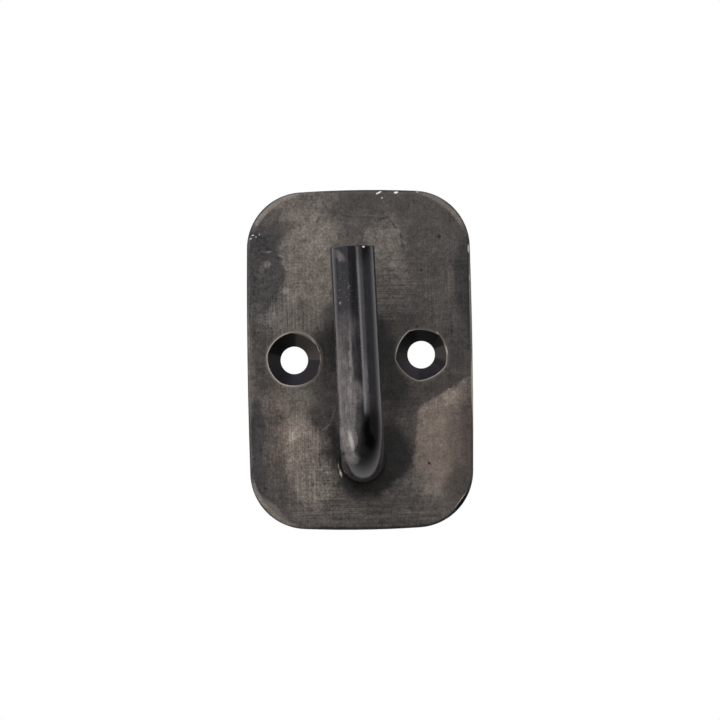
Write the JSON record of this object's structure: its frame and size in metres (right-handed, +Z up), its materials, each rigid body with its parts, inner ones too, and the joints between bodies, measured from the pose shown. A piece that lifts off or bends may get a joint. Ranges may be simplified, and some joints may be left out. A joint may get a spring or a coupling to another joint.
{
  "type": "wall hook",
  "caption": "Single wall hook: a rounded steel plate with countersunk screw holes and a round bar that comes out of its lower middle and bends straight up.",
  "frame": {"origin": "middle of the plate's back face, on the wall", "axes": "+Z up the plate, +Y into the wall, the hook comes out towards -Y"},
  "size_m": [0.0418, 0.0215, 0.0628],
  "materials": {
    "plate_steel": "blackened, rubbed back by hand, waxed",
    "bar_steel": "blackened, half polished"
  },
  "bodies": {
    "root": {"back_plate": "plate_steel", "hook_bar": "bar_steel"}
  },
  "joints": []
}
